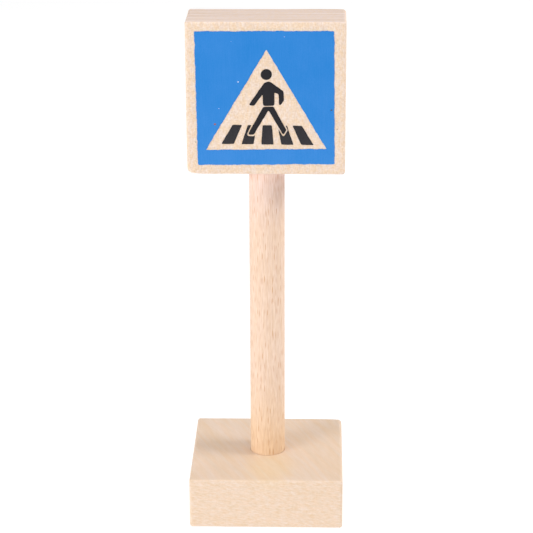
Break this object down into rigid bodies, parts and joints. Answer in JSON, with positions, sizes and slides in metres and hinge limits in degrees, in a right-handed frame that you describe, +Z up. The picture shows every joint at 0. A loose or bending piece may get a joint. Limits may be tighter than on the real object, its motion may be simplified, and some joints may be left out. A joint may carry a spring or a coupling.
{
  "type": "wooden toy road sign",
  "caption": "Tabletop wooden toy sign: a square block printed with a pedestrian-crossing symbol, on a round dowel post glued into a square base block.",
  "frame": {"origin": "middle of the underside of the base block, which is the bottom centre of the whole object's box", "axes": "+Z up along the post, +X to the reader's right, and the printed front faces -Y"},
  "size_m": [0.0524, 0.052, 0.1735],
  "materials": {
    "base_wood": "bare beech, sanded, edges eased by hand",
    "post_wood": "bare beech dowel, turned, with short ray flecks along the grain",
    "sign_wood": "bare pale beech, sanded, edges eased by hand",
    "glue": "dried wood glue, translucent cream",
    "blue_ink": "matt printed ink, thin enough to show the grain's relief",
    "black_ink": "matt printed ink, slightly mottled"
  },
  "bodies": {
    "root": {"base_block": "base_wood", "post": "post_wood", "sign_block": "sign_wood", "base_joint_glue": "glue", "sign_joint_glue": "glue", "blue_field": "blue_ink", "walker_head": "black_ink", "walker_torso": "black_ink", "walker_legs": "black_ink", "stripe_1": "black_ink", "stripe_2": "black_ink", "stripe_3": "black_ink", "stripe_4": "black_ink", "stripe_5": "black_ink"}
  },
  "joints": []
}
